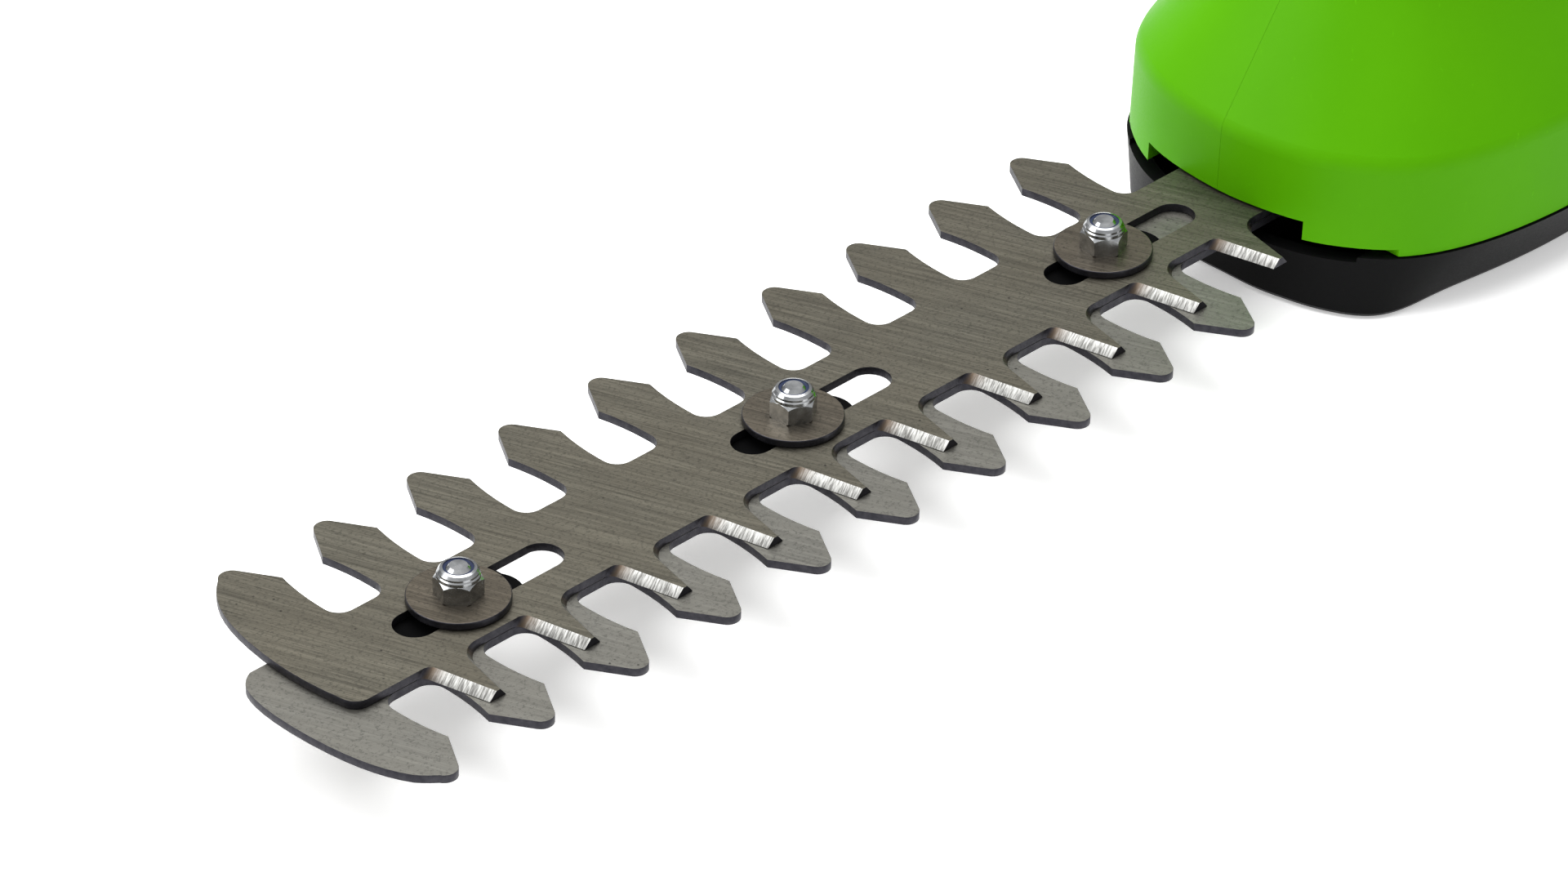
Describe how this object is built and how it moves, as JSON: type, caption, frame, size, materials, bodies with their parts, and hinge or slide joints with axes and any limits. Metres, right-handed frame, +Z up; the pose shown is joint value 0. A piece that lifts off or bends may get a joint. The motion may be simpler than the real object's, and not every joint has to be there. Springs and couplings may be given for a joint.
{
  "type": "hedge trimmer",
  "caption": "Cordless hand-held hedge trimmer with two counter-moving toothed blades, a domed gear head, an arched grip and a slide-out battery pack.",
  "frame": {"origin": "on the flat underside of the head, below the drive gear's axis", "axes": "+X from the blade nose towards the battery pack, +Y to the tool's right seen from the grip, +Z up"},
  "size_m": [0.4961, 0.0806, 0.0912],
  "materials": {
    "blade_steel": "brushed, dull",
    "bar_steel": "plain ground steel",
    "zinc": "bright zinc plate",
    "nylon": "dark blue nylon",
    "bronze": "sintered bronze",
    "bearing_steel": "polished",
    "cast_aluminium": "as cast",
    "gear_steel": "machined, oiled",
    "motor_steel": "zinc plated can",
    "spring_steel": "bright wire",
    "black_screw": "black oxide",
    "green_plastic": "fine satin texture",
    "black_plastic": "fine matte texture",
    "soft_black": "soft touch",
    "orange_plastic": "satin",
    "board": "solder mask",
    "lead_red": "insulated wire",
    "brass": "bright",
    "lens": "clear",
    "cell_blue": "shrink sleeve"
  },
  "bodies": {
    "frame": {"guide_bar": "bar_steel", "blade_bolts": "zinc", "bolt_bushes": "bar_steel", "guide_shoes": "black_plastic", "blade_washers": "blade_steel", "lock_nuts": "zinc", "nut_rings": "nylon", "lower_bush": "bronze", "upper_bearing": "bearing_steel", "gear_frame": "cast_aluminium", "frame_posts": "bar_steel", "frame_screws": "zinc", "motor_can": "motor_steel", "motor_cap": "black_plastic", "motor_screws": "zinc", "grip_pad": "soft_black", "housing_left": "green_plastic", "housing_right": "green_plastic", "housing_screws": "black_screw", "ear_screws": "zinc", "base_cover": "black_plastic", "base_screws": "black_screw", "foot_pads": "soft_black", "trigger_pin": "bar_steel", "pin_blocks": "green_plastic", "trigger_spring": "spring_steel", "lock_spring": "spring_steel", "micro_switch": "black_plastic", "control_board": "board", "board_parts": "black_plastic", "motor_leads": "lead_red", "battery_leads": "lead_red", "terminal_block": "black_plastic", "contacts": "brass"},
    "drive": {"drive_gear": "gear_steel", "upper_cam": "gear_steel", "lower_cam": "gear_steel", "gear_axle": "gear_steel"},
    "upper": {"upper_blade": "blade_steel"},
    "lower": {"lower_blade": "blade_steel"},
    "rotor": {"motor_rotor": "gear_steel", "pinion": "bronze"},
    "trigger_body": {"trigger": "black_plastic"},
    "lock": {"lock_button": "orange_plastic"},
    "pack": {"battery_stick": "black_plastic", "battery_cap": "black_plastic", "charge_lens": "lens", "battery_cells": "cell_blue", "cell_board": "board"},
    "latch_l": {"latch_left": "orange_plastic"},
    "latch_r": {"latch_right": "orange_plastic"}
  },
  "joints": [
    {"name": "drive_turn", "type": "hinge", "parent": "frame", "child": "drive", "pos_m": [0, 0, 0.022], "axis": [0, 0, 1], "range_deg": [0, 180]},
    {"name": "upper_blade_slide", "type": "slide", "parent": "frame", "child": "upper", "axis": [1, 0, 0], "range_m": [-0.009, 0]},
    {"name": "lower_blade_slide", "type": "slide", "parent": "frame", "child": "lower", "axis": [1, 0, 0], "range_m": [0, 0.009]},
    {"name": "motor_turn", "type": "hinge", "parent": "frame", "child": "rotor", "pos_m": [0.03, 0, 0.04], "axis": [0, 0, 1], "range_deg": [-720, 0]},
    {"name": "trigger_pull", "type": "hinge", "parent": "frame", "child": "trigger_body", "pos_m": [0.078, 0, 0.062], "axis": [0, -1, 0], "range_deg": [0, 10], "stiffness_Nm_per_rad": 0.6, "springref_deg": -8.59, "deforming": ["trigger_spring"]},
    {"name": "lock_button_press", "type": "slide", "parent": "frame", "child": "lock", "axis": [0, 0, -1], "range_m": [0, 0.003], "stiffness_N_per_m": 400, "springref_m": -0.002, "deforming": ["lock_spring"]},
    {"name": "battery_slide", "type": "slide", "parent": "frame", "child": "pack", "axis": [1, 0, 0], "range_m": [0, 0.06]},
    {"name": "latch_left_press", "type": "slide", "parent": "pack", "child": "latch_l", "axis": [0, -1, 0], "range_m": [0, 0.0018], "stiffness_N_per_m": 600, "springref_m": -0.001},
    {"name": "latch_right_press", "type": "slide", "parent": "pack", "child": "latch_r", "axis": [0, 1, 0], "range_m": [0, 0.0018], "stiffness_N_per_m": 600, "springref_m": -0.001}
  ],
  "couplings": [
    {"joint": "upper_blade_slide", "follows": "drive_turn", "m_per_rad": -0.0028648},
    {"joint": "lower_blade_slide", "follows": "drive_turn", "m_per_rad": 0.0028648},
    {"joint": "motor_turn", "follows": "drive_turn", "ratio": -4}
  ]
}
